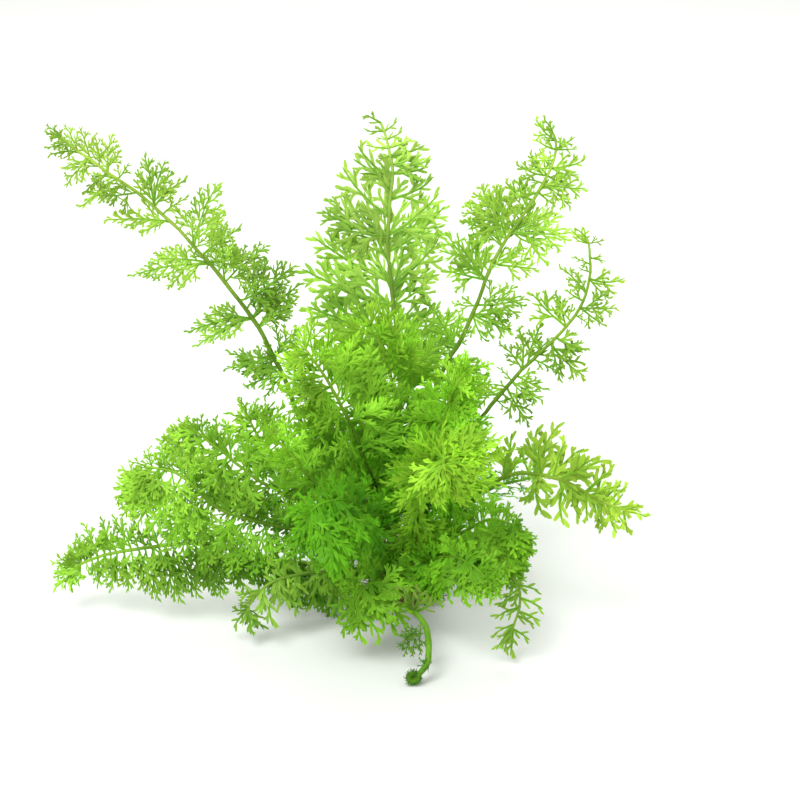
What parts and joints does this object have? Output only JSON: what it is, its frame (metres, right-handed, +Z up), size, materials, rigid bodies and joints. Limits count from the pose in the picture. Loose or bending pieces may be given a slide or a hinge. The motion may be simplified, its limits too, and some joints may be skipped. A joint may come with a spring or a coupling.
{
  "type": "water sprite plant",
  "caption": "Bushy freshwater fern with finely cut pale green fronds rising in a rosette from a small pad of roots.",
  "frame": {"origin": "on the table, at the middle of the flat underside of the root pad", "axes": "+Z up, +X to the right in the picture, -Y towards the camera"},
  "size_m": [0.2642, 0.1864, 0.223],
  "materials": {
    "leaf": "thin soft leaf, slightly glossy and translucent",
    "roots": "matted brown roots, dull",
    "rootstock": "green-brown scaly stem, dull"
  },
  "bodies": {
    "root": {"roots": "roots", "rootstock": "rootstock", "frond_upper_left": "leaf", "frond_top": "leaf", "frond_upper_right": "leaf", "frond_right_arch": "leaf", "frond_right_low": "leaf", "frond_left_low": "leaf", "frond_left_middle": "leaf", "frond_left_upper": "leaf", "frond_left_shoulder": "leaf", "frond_left_drooping": "leaf", "frond_right_drooping": "leaf", "frond_crown_left": "leaf", "frond_crown_middle": "leaf", "frond_crown_right": "leaf", "frond_left_inner": "leaf", "frond_front_left": "leaf", "frond_front_middle": "leaf", "frond_front_low_left": "leaf", "frond_front_low_right": "leaf", "frond_right_inner": "leaf", "frond_back_1": "leaf", "frond_back_2": "leaf", "frond_back_3": "leaf", "frond_back_4": "leaf", "fiddlehead": "leaf"}
  },
  "joints": []
}
